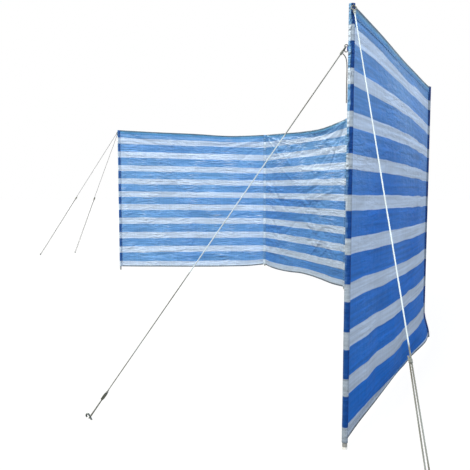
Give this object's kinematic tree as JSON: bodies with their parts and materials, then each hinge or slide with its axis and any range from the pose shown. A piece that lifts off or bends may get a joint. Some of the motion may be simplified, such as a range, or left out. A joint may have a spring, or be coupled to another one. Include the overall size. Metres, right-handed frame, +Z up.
{
  "type": "beach windbreak",
  "caption": "Beach windbreak of striped blue and white cloth stretched over upright steel poles in angled bays, with guy ropes, runners and hooked pegs at both ends.",
  "frame": {"origin": "centre of the middle pole's foot, at ground level", "axes": "+Z up; +X and +Y level, with the first bay running 11 degrees off +X and the last bay coming towards -Y"},
  "size_m": [3.4559, 6.2312, 1.398],
  "materials": {
    "pole_steel": "satin",
    "foot_steel": "satin",
    "bay_cloth": "woven stripes",
    "sleeve_cloth": "woven stripes",
    "hem_cloth": "woven stripes",
    "ring_wire": "satin",
    "rope": "braided",
    "runner_plastic": "matte",
    "peg_steel": "satin",
    "tail_cord": "braided"
  },
  "bodies": {
    "root": {"bay_1": "bay_cloth", "bay_2": "bay_cloth", "bay_3": "bay_cloth", "bay_4": "bay_cloth", "bottom_hem_1": "hem_cloth", "bottom_hem_2": "hem_cloth", "bottom_hem_3": "hem_cloth", "bottom_hem_4": "hem_cloth", "guy_peg_1a": "peg_steel", "guy_peg_1b": "peg_steel", "guy_peg_5a": "peg_steel", "guy_peg_5b": "peg_steel", "guy_ring_1": "ring_wire", "guy_ring_5a": "ring_wire", "guy_ring_5b": "ring_wire", "guy_rope_1a": "rope", "guy_rope_1b": "rope", "guy_rope_5a": "rope", "guy_rope_5b": "rope", "guy_runner_1a": "runner_plastic", "guy_runner_1b": "runner_plastic", "guy_runner_5a": "runner_plastic", "guy_tail_5a": "tail_cord", "pole_1": "pole_steel", "pole_2": "pole_steel", "pole_3": "pole_steel", "pole_4": "pole_steel", "pole_5": "pole_steel", "pole_foot_1": "foot_steel", "pole_foot_2": "foot_steel", "pole_foot_3": "foot_steel", "pole_foot_4": "foot_steel", "pole_foot_5": "foot_steel", "sleeve_1": "sleeve_cloth", "sleeve_2": "sleeve_cloth", "sleeve_3": "sleeve_cloth", "sleeve_4": "sleeve_cloth", "sleeve_5": "sleeve_cloth", "top_hem_1": "hem_cloth", "top_hem_2": "hem_cloth", "top_hem_3": "hem_cloth", "top_hem_4": "hem_cloth"}
  },
  "joints": []
}
